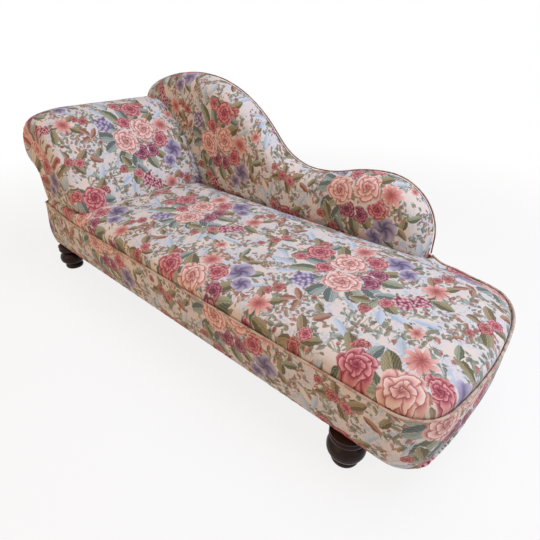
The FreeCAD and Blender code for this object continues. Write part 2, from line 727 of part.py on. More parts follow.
make_feet()
make_rails()
make_corner_blocks()
make_springs()
make_deck()
make_border()
headrest_envelope = headrest_form(0, total(DECK))
back_envelope = back_form(0, total(DECK))
make_headrest(headrest_envelope)
make_back(back_envelope)
make_seat(headrest_envelope, back_envelope)

doc.recompute()

# Blanks and tools that other objects are made from aren't sub-parts
HELPERS = ("front_rail_", "rear_block_blank", "glide_", "bolt_")
SUBPARTS = [item for item in doc.Objects
            if item.TypeId.startswith(("Part::", "PartDesign::Body"))
            and not item.Name.startswith(HELPERS)]
for item in doc.Objects:
    if "Invalid" in item.State or "Error" in item.State:
        raise RuntimeError("failed object: " + item.Name)
os.makedirs("parts", exist_ok=True)
for item in SUBPARTS:
    item.Label = item.Name
    shape = item.Shape
    if shape.isNull() or not shape.isValid() or not shape.Solids:
        raise RuntimeError("bad shape: " + item.Name)
    shape.exportStep("parts/%s.step" % item.Label)
    print("%-28s %2d solid(s) %10.0f mm3" % (item.Label, len(shape.Solids), shape.Volume))
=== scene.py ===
"""Looks of the fainting couch: stuffed seat, scroll headrest, serpentine back, piped border, turned feet.

Metres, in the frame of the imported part. Couch places are written in millimetres as (u, v, z): along
from the head end of the base, across from the front piping, and up from the floor.
"""
import math
import bmesh
import bpy
import json
from mathutils import Euler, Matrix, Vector, noise
from mathutils.kdtree import KDTree


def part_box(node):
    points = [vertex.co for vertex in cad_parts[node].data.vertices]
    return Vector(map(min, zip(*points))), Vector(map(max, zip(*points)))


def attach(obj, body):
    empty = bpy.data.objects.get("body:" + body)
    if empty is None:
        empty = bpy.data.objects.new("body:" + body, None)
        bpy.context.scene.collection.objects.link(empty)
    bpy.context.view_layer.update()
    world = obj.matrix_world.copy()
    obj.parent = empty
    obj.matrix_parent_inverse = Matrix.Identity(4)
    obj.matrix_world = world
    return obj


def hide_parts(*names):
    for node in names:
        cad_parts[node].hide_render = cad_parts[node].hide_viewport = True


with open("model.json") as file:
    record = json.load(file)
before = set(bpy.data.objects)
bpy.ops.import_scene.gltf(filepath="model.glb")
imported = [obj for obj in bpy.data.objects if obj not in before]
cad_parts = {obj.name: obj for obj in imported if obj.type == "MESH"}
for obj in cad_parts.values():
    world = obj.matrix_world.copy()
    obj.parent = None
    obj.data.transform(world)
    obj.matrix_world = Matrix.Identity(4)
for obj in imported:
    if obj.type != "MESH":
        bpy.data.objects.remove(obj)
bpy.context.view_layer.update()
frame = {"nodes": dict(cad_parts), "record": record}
scene = bpy.context.scene

# Main sizes of the couch, in millimetres and degrees
MIDDLE_U, MIDDLE_V = 835.5, 346.5
FOOT_HEIGHT, DECK, PIPING_HEIGHT = 112, 268.5, 294
BASE_LENGTH, BASE_DEPTH = 1746, 693
HEAD_CORNER = 20
FRONT_CORNER, FRONT_FLARE = 102, 12
REAR_CORNER, REAR_FLARE = 275, 8
PANEL_PLACE, ROLL_OVERHANG = 6, 78
ROLL_CENTRE, ROLL_HEIGHT, ROLL_RADIUS, ROLL_NECK_TURN = 81, 510, 159.4, 72
FACING_INSET = 52
BACK_FRONT, BACK_REAR = 592, 688
SHOULDER_HEIGHT, BACK_NECK_TURN = 596, 45
# Cuts of the base outline: head end, its front corner, front, front foot corner, bow, rear foot corner
PLAN_CUTS = (36, 5, 90, 14, 18, 30)
FEET = ("foot_head_front", "foot_toe_front", "foot_head_rear", "foot_toe_rear")
# Trim radii, in metres
PIPING_RADIUS, WELT_RADIUS, SEAM_RADIUS = 0.0031, 0.0026, 0.0018
# The covers' cloth: firm, held where it is tacked, blown up softly over a few frames
COVER_CLOTH = {"use_pressure": True, "uniform_pressure_force": 4.0, "quality": 4, "mass": 0.4,
               "tension_stiffness": 12, "compression_stiffness": 12, "bending_stiffness": 1.5,
               "vertex_group_mass": "tacked"}
COVER_FRAMES = 20
COVER_REACH = 0.007


def at(u, v, z):
    """A point of the couch in metres."""
    return Vector(((u - MIDDLE_U) / 1000, (v - MIDDLE_V) / 1000, z / 1000))


def place_of(co):
    """The couch place (u, v, z) of a point in metres."""
    return co * 1000 + Vector((MIDDLE_U, MIDDLE_V, 0))


def level(z):
    """Puts a drawn outline flat at a height."""
    return lambda x, y: at(x, y, z)


def upright(v):
    """Puts a drawn outline upright at a depth."""
    return lambda x, y: at(x, v, y)


# Drawing and growing outlines

def spin_on(bm, path, centre, turn, cuts):
    """Carries a path on round a centre, by one turn a cut."""
    for _ in range(cuts):
        spun = bmesh.ops.spin(bm, geom=path[-1:], cent=centre, axis=(0, 0, 1), angle=turn, steps=1,
                              use_duplicate=False)
        path += [item for item in spun["geom_last"] if isinstance(item, bmesh.types.BMVert)]


def draw(bm, start, heading, steps, inset, place, close=()):
    """Draws a smooth path of (length, None, cuts) lines and (radius, turn, cuts) arcs, then straight on
    through the close points, and gives its vertices. The inset moves the path to its right."""
    angle = math.radians(heading)
    path = [bm.verts.new((start[0] + inset * math.sin(angle), start[1] - inset * math.cos(angle), 0))]

    def run_on(onward, cuts):
        for _ in range(cuts):
            grown = bmesh.ops.extrude_vert_indiv(bm, verts=path[-1:])["verts"][0]
            bmesh.ops.translate(bm, verts=[grown], vec=onward)
            path.append(grown)

    for amount, turn, cuts in steps:
        if turn is None:
            run_on(Vector((math.cos(angle), math.sin(angle), 0)) * amount / cuts, cuts)
            continue
        side = math.copysign(1, turn)
        reach = (amount + side * inset) * side
        centre = path[-1].co + Vector((-math.sin(angle), math.cos(angle), 0)) * reach
        spin_on(bm, path, centre, math.radians(turn) / cuts, cuts)
        angle += math.radians(turn)
    for (x, y), cuts in close:
        run_on((Vector((x, y, 0)) - path[-1].co) / cuts, cuts)
    for corner in path:
        corner.co = place(corner.co.x, corner.co.y)
    return path


def ring(bm, path, shut):
    """Edges along drawn vertices, joined end to end when shut."""
    pairs = list(zip(path, path[1:]))
    if shut:
        pairs.append((path[-1], path[0]))
    return [bm.edges.get(pair) or bm.edges.new(pair) for pair in pairs]


def plan(bm, front, rear, end, head, z, shut=True):
    """The base outline, drawn in by four amounts, at a height. It starts at its rear head corner."""
    flare, flare_rear = math.radians(FRONT_FLARE), math.radians(REAR_FLARE)
    corner = max(FRONT_CORNER - max(front, end), 2)
    corner_rear = REAR_CORNER - (rear + end) / 2
    across = BASE_DEPTH - front - rear
    bow = across - corner * (1 - math.sin(flare)) - corner_rear * (1 - math.sin(flare_rear))
    bow /= math.sin(flare) + math.sin(flare_rear)
    reach = corner * math.cos(flare) + bow * (1 - math.cos(flare))
    runs = ((across - 2 * HEAD_CORNER, None), (HEAD_CORNER, 90),
            (BASE_LENGTH - end - reach - head - HEAD_CORNER, None), (corner, 90 - FRONT_FLARE),
            (bow, FRONT_FLARE + REAR_FLARE), (corner_rear, 90 - REAR_FLARE))
    steps = [(*run, cuts) for run, cuts in zip(runs, PLAN_CUTS)]
    rear_line = BASE_DEPTH - rear
    path = draw(bm, (head, rear_line - HEAD_CORNER), -90, steps, 0, level(z),
                [((head + HEAD_CORNER, rear_line), 80)])
    spin_on(bm, path, at(head + HEAD_CORNER, rear_line - HEAD_CORNER, z), math.radians(18), 4)
    ring(bm, path, shut)
    return path


def roll(bm, inset, place, bottom=DECK):
    """Upright outline of the headrest from the outside panel over the roll to the seat."""
    lean = math.radians(ROLL_NECK_TURN)
    neck = (ROLL_OVERHANG + PANEL_PLACE) / (2 * (1 - math.cos(lean)))
    steps = [(ROLL_HEIGHT - 2 * neck * math.sin(lean) - bottom, None, 12), (neck, ROLL_NECK_TURN, 10),
             (neck, -ROLL_NECK_TURN, 10), (ROLL_RADIUS, -140, 30), (1150, -15, 30), (60, -25, 4)]
    return draw(bm, (PANEL_PLACE, bottom), 90, steps, inset, place)


def serpentine(bm, inset, place, bottom):
    """Upright outline of the back, from its head end over the crown and down to the low hump."""
    lean = math.radians(BACK_NECK_TURN)
    swing = (ROLL_OVERHANG + PANEL_PLACE) / (2 * (1 - math.cos(lean)))
    steps = [(SHOULDER_HEIGHT - 2 * swing * math.sin(lean) - bottom, None, 12),
             (swing, BACK_NECK_TURN, 12), (swing, -BACK_NECK_TURN, 12), (125, -66, 14), (740, -33.5, 36),
             (550, -37.5, 32), (50, None, 4), (240, 47, 18), (450, 18, 14), (500, -18, 16), (190, -90, 24)]
    return draw(bm, (PANEL_PLACE, bottom), 90, steps, inset, place)


def finished(bm, name, smooth=True):
    """Turns a bmesh into an object that lies where its mesh lies."""
    mesh = bpy.data.meshes.new(name)
    bm.to_mesh(mesh)
    bm.free()
    mesh.shade_smooth() if smooth else mesh.shade_flat()
    piece = bpy.data.objects.new(name, mesh)
    scene.collection.objects.link(piece)
    return piece


def settle(piece):
    """Makes the piece's modifiers part of its mesh."""
    graph = bpy.context.evaluated_depsgraph_get()
    mesh = bpy.data.meshes.new_from_object(piece.evaluated_get(graph))
    piece.modifiers.clear()
    piece.data = mesh
    return piece


def joined(name, nodes):
    """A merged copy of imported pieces, from which one stuffed form is grown."""
    bm = bmesh.new()
    for item in nodes:
        bm.from_mesh(frame["nodes"][item].data)
    bmesh.ops.remove_doubles(bm, verts=bm.verts, dist=0.00002)
    return finished(bm, name)


def outer_shell(piece):
    """Keeps only the biggest island, so no hollow is left inside."""
    bm = bmesh.new()
    bm.from_mesh(piece.data)
    left = set(bm.verts)
    islands = []
    while left:
        island = [left.pop()]
        for corner in island:
            fresh = {link.other_vert(corner) for link in corner.link_edges} & left
            left -= fresh
            island.extend(fresh)
        islands.append(island)
    islands.sort(key=len)
    spare = [corner for island in islands[:-1] for corner in island]
    bmesh.ops.delete(bm, geom=spare, context="VERTS")
    bm.to_mesh(piece.data)
    bm.free()


def remesh(piece, voxel):
    """Gives a form an even mesh without hollows."""
    even = piece.modifiers.new("Even", "REMESH")
    even.mode = "VOXEL"
    even.voxel_size = voxel
    settle(piece)
    outer_shell(piece)


def relaxed(piece, passes):
    """A piece's mesh as a bmesh, smoothed."""
    bm = bmesh.new()
    bm.from_mesh(piece.data)
    for _ in range(passes):
        bmesh.ops.smooth_vert(bm, verts=bm.verts, factor=0.5, use_axis_x=True, use_axis_y=True, use_axis_z=True)
    return bm


def stuff(piece, voxel, held, growth, passes=10):
    """Remeshes a form evenly, smooths it, and blows its cloth up softly where held says it is free.

    held(co) is 0 for cloth that is tacked down and 1 for cloth that is free. The cloth may slide and rise by
    its reach, but it isn't drawn into the form, where it would lay the frame bare.
    """
    remesh(piece, voxel)
    bm = relaxed(piece, passes)
    bm.normal_update()
    for corner, push in [(corner, corner.normal * growth * held(corner.co)) for corner in bm.verts]:
        corner.co += push
    bm.to_mesh(piece.data)
    bm.free()
    start = [(corner.co.copy(), corner.normal.copy()) for corner in piece.data.vertices]
    tacked = piece.vertex_groups.new(name="tacked")
    for index, (co, _) in enumerate(start):
        if held(co) < 1:
            tacked.add([index], 1 - held(co), "REPLACE")
    cloth = piece.modifiers.new("Cover", "CLOTH")
    for setting, value in COVER_CLOTH.items():
        setattr(cloth.settings, setting, value)
    cloth.settings.effector_weights.gravity = 0
    cloth.point_cache.frame_end = COVER_FRAMES
    for step in range(1, COVER_FRAMES + 1):
        scene.frame_set(step)
    settle(piece)
    scene.frame_set(1)
    for corner, (first, outward) in zip(piece.data.vertices, start):
        move = corner.co - first
        move -= outward * min(move.dot(outward), 0)
        corner.co = first + move * (COVER_REACH / max(move.length, COVER_REACH))
    piece.data.shade_smooth()
    return piece


def thicken(piece, thickness, offset=-1):
    """Gives a sheet its thickness, inwards unless the offset says otherwise."""
    wall = piece.modifiers.new("Wall", "SOLIDIFY")
    wall.thickness = thickness
    wall.offset = offset


def ease(value, low, high):
    """Smooth step from 0 at low to 1 at high."""
    share = min(max((value - low) / (high - low), 0), 1)
    return share * share * (3 - 2 * share)


def along(points):
    """A measure of how far along a drawn line a flat point lies."""
    tree = KDTree(len(points))
    run = [0.0]
    for index, point in enumerate(points):
        tree.insert(point.to_3d(), index)
        if index:
            run.append(run[-1] + (point - points[index - 1]).length)
    tree.balance()

    def measure(point):
        nearest = tree.find(point.to_3d())[1]
        best = None
        for first in (nearest - 1, nearest):
            if 0 <= first < len(points) - 1:
                side = points[first + 1] - points[first]
                share = min(max((point - points[first]).dot(side) / side.length_squared, 0), 1)
                gap = (point - points[first] - side * share).length
                if best is None or gap < best[0]:
                    best = (gap, run[first] + side.length * share)
        return best[1]
    return measure


def lay_cloth(piece, spread):
    """Gives every face corner its place on the cloth, in metres: across the roll and up it."""
    layer = piece.data.uv_layers.new(name="cloth")
    corners = piece.data.vertices
    places = [spread(corner.co, corner.normal) for corner in corners]
    for loop in piece.data.loops:
        layer.data[loop.index].uv = places[loop.vertex_index]


def sculpt(piece, move):
    """Moves every point of a piece: move(u, v, z) gives a shift, all in millimetres."""
    for corner in piece.data.vertices:
        u, v, z = place_of(corner.co)
        corner.co += Vector(move(u, v, z)) / 1000
    piece.data.update()


def head_sweep(u, v, z, low=150):
    """The front edge draws back and up towards the head end, its corner turns in under the facing, and the
    piping sinks round the rear toe corner. The low height is where that sinking begins."""
    share = (1 - ease(u, -10, 330)) * (1 - ease(v, 40, 260)) * ease(z, FOOT_HEIGHT, 290)
    corner = (1 - ease(u, -10, 70)) * (1 - ease(v, 20, 130)) * ease(z, 130, 290)
    drop = ease(u, 1400, 1480) * (1 - ease(u, 1555, 1715)) * ease(v, 470, 640)
    drop *= ease(z, low, PIPING_HEIGHT)
    return Vector((12 * corner, 20 * share - 7 * drop, 10 * share * (1 - ease(z, 300, 350)) - 23 * drop))


# Seat

def seat_free(co):
    """Free on top, held at the piping and in the tuck along the back."""
    u, v, z = place_of(co)
    tuck = ease(v, 560, 588) * (1 - ease(u, 1410, 1460))
    return ease(z, 298, 322) * (1 - 0.85 * tuck)


seat = stuff(joined("seat", ["seat_pad"]), 0.0075, seat_free, 0.0035)


def seat_dips(u, v, z):
    """Sat-in unevenness of the stuffing, and small pulls where the cover meets the piping."""
    free = ease(z, 305, 340)
    dip = noise.noise(Vector((u / 260, v / 180, 3))) * 2.2 + noise.noise(Vector((u / 90, v / 90, 8))) * 0.7
    edge = ease(z, 297, 303) * (1 - ease(z, 303, 326))
    pull = noise.noise(Vector((u / 16, v / 16, 1))) * 1.1 * edge
    crease = max(1 - abs(u - 346) / 34, 0) * ease(v, 20, 70)
    crease += max(1 - abs(v - 584) / 28, 0) * (1 - ease(u, 1395, 1430))
    return head_sweep(u, v, z, 266) + Vector((0, 0, (dip - 9 * min(crease, 1)) * free + pull))


sculpt(seat, seat_dips)
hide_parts("seat_pad", "seat_cover")

# Headrest

def headrest_free(co):
    """Free above the seat, held where it meets the back."""
    u, v, z = place_of(co)
    return ease(z, 300, 360) * (1 - ease(v, 570, 590))


headrest = stuff(joined("headrest", ["headrest_pad", "scroll_board_front", "scroll_board_rear",
                                     "headrest_top_rail", "headrest_head_rail", "headrest_seat_rail"]),
                 0.006, headrest_free, 0.003, passes=6)


def headrest_shape(u, v, z):
    """The roll droops to its front, its rear slope is fuller, and the front edge is gathered round the roll."""
    droop = (1 - ease(v, 30, 190)) ** 1.5 * ease(z, 470, 640)
    fuller = ease(v, 250, 600) * math.sin(math.pi * min(max((z - 330) / 300, 0), 1)) * ease(u, 60, 150)
    out, up = u - ROLL_CENTRE, z - ROLL_HEIGHT
    turn = math.atan2(up, out)
    edge = (1 - ease(v, 46, 85)) * ease(math.hypot(out, up), 95, 120) * ease(z, 520, 600)
    pleat = 1.6 * math.sin(turn * 34 + 1.3 * math.sin(turn * 7)) * edge
    dip = noise.noise(Vector((u / 150, v / 130, z / 150))) * 1.8 * ease(z, 340, 420)
    lip = ease(z, 318, 362) * (1 - ease(z, 372, 480)) * ease(u, 190, 270) * ease(v, 40, 90)
    lip *= 1 - ease(v, 560, 590)
    return Vector((14 * fuller + 9 * lip + pleat * math.cos(turn), 0,
                   9 * fuller - 17 * droop + pleat * math.sin(turn) + dip))


sculpt(headrest, headrest_shape)
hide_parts("headrest_pad", "headrest_cover", "headrest_outside_cover")

# Back

def back_free(co):
    """Free above the seat, held along the welt."""
    u, v, z = place_of(co)
    return ease(z, 290, 340) * (1 - ease(v, 668, 682))


back = stuff(joined("back", ["back_pad", "back_panel", "back_rear_wadding", "back_post_head",
                             "back_post_middle", "back_post_toe", "back_bottom_rail_head",
                             "back_bottom_rail_toe"]),
             0.007, back_free, 0.0028)


def back_lean(u, v, z):
    """The back's head end is rounder than its board: its front edge turns in more than its rear one."""
    return Vector((34 * (1 - ease(u, -85, 70)) * ease(z, 430, 600) * (1 - 0.65 * ease(v, 600, 688)), 0, 0))


def back_shape(u, v, z):
    """Unevenness of the stuffing, and small pulls along the welt."""
    dip = noise.noise(Vector((u / 170, v / 170, z / 140))) * 2.2 * ease(z, 310, 380) * (1 - ease(v, 640, 675))
    pull = noise.noise(Vector((u / 14, 5, z / 14))) * 0.9 * ease(v, 655, 675) * (1 - ease(v, 680, 688))
    return back_lean(u, v, z) + Vector((0, dip, pull))


sculpt(back, back_shape)
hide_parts("back_pad", "back_cover", "back_rear_wadding")

# Border

def border_skin():
    """The padded strip round the base, from its tack line under the rails to the piping."""
    bm = bmesh.new()
    rows = 18
    rings = []
    low, high = FOOT_HEIGHT, PIPING_HEIGHT - 3
    for row in range(-1, rows + 2):
        share = min(max(row / rows, 0), 1)
        tuck = 14 if row < 0 else 5 if row > rows else 0
        swell = 24 * (1 - share) ** 2.3 + tuck
        head = 2 - 11 * math.sin(math.pi * (0.2 + 0.8 * share)) + tuck
        height = low + (high - low) * share + (-0.5 if row < 0 else 0.5 if row > rows else 0)
        end = swell * 0.8 - 3 * math.sin(math.pi * share) if 0 <= row <= rows else tuck
        path = plan(bm, swell, tuck, end, head, height)
        rings.append([bm.edges.get(pair) for pair in zip(path, path[1:] + path[:1])])
    for first, second in zip(rings, rings[1:]):
        bmesh.ops.bridge_loops(bm, edges=first + second)
    bmesh.ops.subdivide_edges(bm, edges=bm.edges, cuts=1, use_grid_fill=True)
    bmesh.ops.recalc_face_normals(bm, faces=bm.faces)
    return finished(bm, "border")


def border_pulls(u, v, z):
    """Short pulls under the piping and over the tack line, and a slightly uneven filling."""
    top = 1 - ease(PIPING_HEIGHT - z, 0, 22)
    foot = 1 - ease(z - FOOT_HEIGHT, 0, 30)
    pull = noise.noise(Vector((u / 13, v / 13, 2))) * (0.8 * top + 1.3 * foot)
    out = Vector((u - MIDDLE_U if u > 1500 or u < 60 else 0, v - MIDDLE_V, 0)).normalized()
    swell = noise.noise(Vector((u / 190, v / 190, z / 70))) * 1.6 * (1 - top) * (1 - foot)
    return head_sweep(u, v, z) + out * (pull + swell) * (v < 660)


border = border_skin()
sculpt(border, border_pulls)
thicken(border, 0.002)
settle(border)
border.data.shade_smooth()
BORDER_FACES = ("front", "foot_front_corner", "foot_middle", "foot_rear_corner", "back", "head")
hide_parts(*["border_cover_" + face for face in BORDER_FACES],
            *["border_padding_" + face for face in BORDER_FACES if face != "back"])

# Trim

def cord_tube(name, points, radius):
    """A cloth-covered cord along points."""
    curve = bpy.data.curves.new(name, "CURVE")
    curve.dimensions = "3D"
    curve.bevel_depth = radius
    curve.bevel_resolution = 3
    curve.resolution_u = 2
    line = curve.splines.new("NURBS")
    line.points.add(len(points) - 1)
    for corner, point in zip(line.points, points):
        corner.co = (*point, 1)
    line.order_u = 3
    line.use_endpoint_u = True
    holder = bpy.data.objects.new(name, curve)
    scene.collection.objects.link(holder)
    mesh = bpy.data.meshes.new_from_object(holder.evaluated_get(bpy.context.evaluated_depsgraph_get()))
    bpy.data.objects.remove(holder)
    bm = bmesh.new()
    bm.from_mesh(mesh)
    bmesh.ops.remove_doubles(bm, verts=bm.verts, dist=0.00001)
    bmesh.ops.holes_fill(bm, edges=bm.edges, sides=0)
    bmesh.ops.recalc_face_normals(bm, faces=bm.faces)
    return finished(bm, name)


def traced(path):
    """The places of drawn vertices."""
    return [corner.co.copy() for corner in path]


guide = bmesh.new()
route = traced(plan(guide, 1, 1, 1, 2, PIPING_HEIGHT, False))
border_line = traced(plan(guide, 0, 0, 0, 0, PIPING_HEIGHT, False))
# The piping starts a little round the head corner and ends behind the back
piping = cord_tube("seat_piping", route[PLAN_CUTS[0] - 4:sum(PLAN_CUTS) + 3], PIPING_RADIUS)
sculpt(piping, head_sweep)
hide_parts("base_piping")
route = traced(serpentine(guide, 3, upright(BACK_REAR + 3), PIPING_HEIGHT))
route.append(Vector((route[-1].x, route[-1].y, 0.292)))
welt = cord_tube("rear_welt", route, WELT_RADIUS)
sculpt(welt, back_lean)
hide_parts("back_welt")
seam = cord_tube("facing_cord", traced(roll(guide, FACING_INSET + 2.5, upright(32), 300)), SEAM_RADIUS)
sculpt(seam, headrest_shape)
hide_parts("facing_seam_cord")
roll_line = traced(roll(guide, 0, upright(0)))
guide.free()


def panel(name, outline, thick, crown):
    """A thin upholstered panel inside a drawn outline, crowned towards its middle, out from the couch."""
    bm = bmesh.new()
    path = outline(bm)
    rim = KDTree(len(path))
    for index, corner in enumerate(path):
        rim.insert(corner.co, index)
    rim.balance()
    bmesh.ops.contextual_create(bm, geom=ring(bm, path, True))
    bmesh.ops.triangulate(bm, faces=bm.faces)
    piece = finished(bm, name)
    thicken(piece, thick / 1000, 0)
    remesh(piece, min(0.0035, thick / 1000 * 0.7))
    for corner in piece.data.vertices:
        corner.co.y += crown / 1000 * ease(rim.find(corner.co)[2], 0, 0.045)
    bm = relaxed(piece, 3)
    bm.to_mesh(piece.data)
    bm.free()
    piece.data.shade_smooth()
    return piece


facing = panel("facing", lambda bm: roll(bm, FACING_INSET + 1.5, upright(37), 290), 6, -4)
sculpt(facing, headrest_shape)
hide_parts("headrest_facing")
outside = panel("outside_back", lambda bm: serpentine(bm, 6.2, upright(BACK_REAR + 1.2), 291), 3, 1.5)
sculpt(outside, back_lean)
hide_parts("back_outside_cover")

# Feet

# (radius, height) in millimetres, from the glide up to the rail
TURNING = ((0, 4), (30, 4), (34, 6), (36.5, 11), (36.5, 17), (34.5, 22), (31.5, 25), (31.6, 27.5), (36, 30),
           (42.5, 34.5), (47, 40), (49.3, 46), (49.9, 50), (49.1, 51.2), (49.9, 52.4), (50, 56), (49.6, 58.6),
           (48.8, 59.8), (49.1, 61), (47.6, 66), (44, 72), (38.5, 78), (33.5, 81.5), (32, 83.5), (34, 86),
           (42, 87.5), (46, 91), (47, 96), (46, 101), (43.8, 103), (44.2, 105), (46.4, 107), (46.8, 111.6),
           (0, 111.6))
foot_axes = [sum(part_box(name), Vector()) / 2 for name in FEET]
wood_pieces = []
for name, axis in zip(FEET, foot_axes):
    bm = bmesh.new()
    line = [bm.verts.new((radius / 1000, 0, height / 1000)) for radius, height in TURNING]
    ring(bm, line, False)
    bmesh.ops.bevel(bm, geom=line[1:-1], offset=0.0006, segments=2, profile=0.5, affect="VERTICES", material=-1)
    bmesh.ops.spin(bm, geom=bm.verts[:] + bm.edges[:], cent=(0, 0, 0), axis=(0, 0, 1), angle=math.tau, steps=72,
                   use_merge=True, use_duplicate=False)
    bmesh.ops.remove_doubles(bm, verts=bm.verts, dist=0.00002)
    bmesh.ops.recalc_face_normals(bm, faces=bm.faces)
    bmesh.ops.translate(bm, verts=bm.verts, vec=(axis.x, axis.y, 0))
    foot = finished(bm, "turned_" + name)
    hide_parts(name)
    wood_pieces.append(foot)

# Underside

def dust_sheet():
    """Black cloth stapled under the rails, cut round the feet, with a slight sag between them."""
    bm = bmesh.new()
    bmesh.ops.create_grid(bm, x_segments=120, y_segments=46, size=0.5)
    for corner in bm.verts:
        across = corner.co.y + 0.5
        v = 38 + across * (BASE_DEPTH - 46)
        end = BASE_LENGTH - 40 - 40 * (2 * abs(across - 0.45)) ** 2.6
        end -= 150 * max(0, (across - 0.62) / 0.38) ** 2.2 + 40 * max(0, (0.14 - across) / 0.14) ** 2
        u = 16 + (corner.co.x + 0.5) * (end - 16)
        corner.co = at(u, v, FOOT_HEIGHT - 0.9)
    spare = [face for face in bm.faces
             if min((face.calc_center_median() - axis).xy.length for axis in foot_axes) < 0.052]
    bmesh.ops.delete(bm, geom=spare, context="FACES")
    for corner in bm.verts:
        near = min(foot_axes, key=lambda axis: (corner.co - axis).xy.length)
        gap = (corner.co - near).xy.length
        if gap < 0.07 and corner.is_boundary:
            corner.co.xy = near.xy + (corner.co - near).xy * (0.05 / gap)
        rim = min(abs(corner.co.y - at(0, 38, 0).y), abs(corner.co.y - at(0, 685, 0).y)) * 1000
        sag = 0.003 * ease(rim, 10, 160) * (0.8 + 0.4 * noise.noise(corner.co * 9))
        corner.co.z -= sag * ease(gap, 0.05, 0.2)
    bmesh.ops.recalc_face_normals(bm, faces=bm.faces)
    piece = finished(bm, "dust_sheet")
    thicken(piece, 0.0008)
    settle(piece)
    piece.data.shade_smooth()
    return piece


underside = dust_sheet()
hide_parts("dust_cover")

# Colours and finishes

def tint(text):
    """A colour written as sRGB hex, made linear."""
    parts = [int(text[index:index + 2], 16) / 255 for index in (1, 3, 5)]
    linear = [part / 12.92 if part <= 0.04045 else ((part + 0.055) / 1.055) ** 2.4 for part in parts]
    return (*linear, 1.0)


def feed(node, inputs):
    """Gives a node its inputs, by name or in order, as values or as the nodes or sockets they come from."""
    for socket, value in inputs.items() if isinstance(inputs, dict) else enumerate(inputs):
        if isinstance(value, bpy.types.Node):
            value = next(item for item in value.outputs if item.enabled)
        if isinstance(value, bpy.types.NodeSocket):
            node.id_data.links.new(value, node.inputs[socket])
        else:
            node.inputs[socket].default_value = value


def add(tree, kind, inputs=(), operation=None, **settings):
    """Adds a node with its settings and links."""
    made = tree.nodes.new(kind)
    if operation:
        settings["operation"] = operation
    for name, value in settings.items():
        setattr(made, name, value)
    feed(made, inputs)
    return made


def material(name):
    made = bpy.data.materials.new(name)
    made.use_nodes = True
    tree = made.node_tree
    return made, tree, tree.nodes["Principled BSDF"]


def dress(piece, finish):
    piece.data.materials.clear()
    piece.data.materials.append(finish)


def ramp(node, stops, interpolation="LINEAR"):
    """Sets a colour ramp's stops from (place, hex colour) pairs."""
    band = node.color_ramp
    band.interpolation = interpolation
    while len(band.elements) < len(stops):
        band.elements.new(0.5)
    for stop, (place, colour) in zip(band.elements, stops):
        stop.position = place
        stop.color = tint(colour)
    return node


MATH, VEC, MIX, MAP, RAMP = ("ShaderNodeMath", "ShaderNodeVectorMath", "ShaderNodeMix", "ShaderNodeMapping",
                             "ShaderNodeValToRGB")
NOISE, VORONOI, SPLIT, RANGE = ("ShaderNodeTexNoise", "ShaderNodeTexVoronoi", "ShaderNodeSeparateXYZ",
                                "ShaderNodeMapRange")

# The woven repeat: a bouquet every 637 mm up the cloth, and the next column 320 mm over, half a step up
COLUMN = 320.0
COLUMN_LEFT = -140.0
REPEAT = 637.0

# Flower kinds: shadow, body and light colours
FLOWERS = (("#7E3A44", "#DFA699", "#F7DFD3"), ("#6A2230", "#B8606A", "#E5ABA4"),
           ("#4D1D30", "#8F4A60", "#CB929B"), ("#84353A", "#C97F76", "#EDC0B2"),
           ("#3F3650", "#857A96", "#C4BCCB"), ("#6F6382", "#A79BB5", "#D5CDDB"),
           ("#7C3648", "#C48390", "#EBC6C4"), ("#66262E", "#A65A58", "#D69C90"))
PALE_ROSE, DEEP_ROSE, CRIMSON, CORAL, PANSY, LILAC, CLUSTER, BUD = range(1, 9)
# (across, up, radius in mm, turn in degrees, kind), the lowest first
BLOOMS = ((-114, -258, 24, 10, CORAL), (152, -226, 20, 0, BUD), (124, -208, 16, 80, BUD),
          (22, 270, 22, 30, BUD), (58, 258, 20, 120, DEEP_ROSE), (-22, 292, 15, 0, BUD),
          (70, -224, 38, 15, CORAL), (-30, -186, 32, 0, CLUSTER), (2, -216, 27, 50, CLUSTER),
          (-58, -156, 20, 50, DEEP_ROSE), (-104, 64, 36, 0, LILAC), (-112, -128, 18, 20, BUD),
          (-8, 144, 27, 200, DEEP_ROSE), (96, 136, 25, 100, BUD), (50, 120, 48, 20, DEEP_ROSE),
          (136, -92, 46, 10, PANSY), (100, -136, 30, 60, PANSY), (134, 18, 42, 0, CORAL),
          (98, -40, 38, 140, DEEP_ROSE), (42, -78, 32, 90, CRIMSON), (-8, -74, 38, 250, CRIMSON),
          (-16, 56, 32, 160, DEEP_ROSE), (48, 16, 56, 200, PALE_ROSE), (-48, -18, 56, 60, PALE_ROSE))
# Leaf kinds: shadow side and light side
LEAVES = (("#4B5A56", "#AAB7AE"), ("#4F5844", "#AEB398"), ("#565038", "#AAA17C"),
          ("#64543E", "#B3A07F"), ("#7C5140", "#BF9780"), ("#ACBDCA", "#D0DBE2"))
TEAL, SAGE, OLIVE, BRONZE, RUST, SKY = range(1, 7)
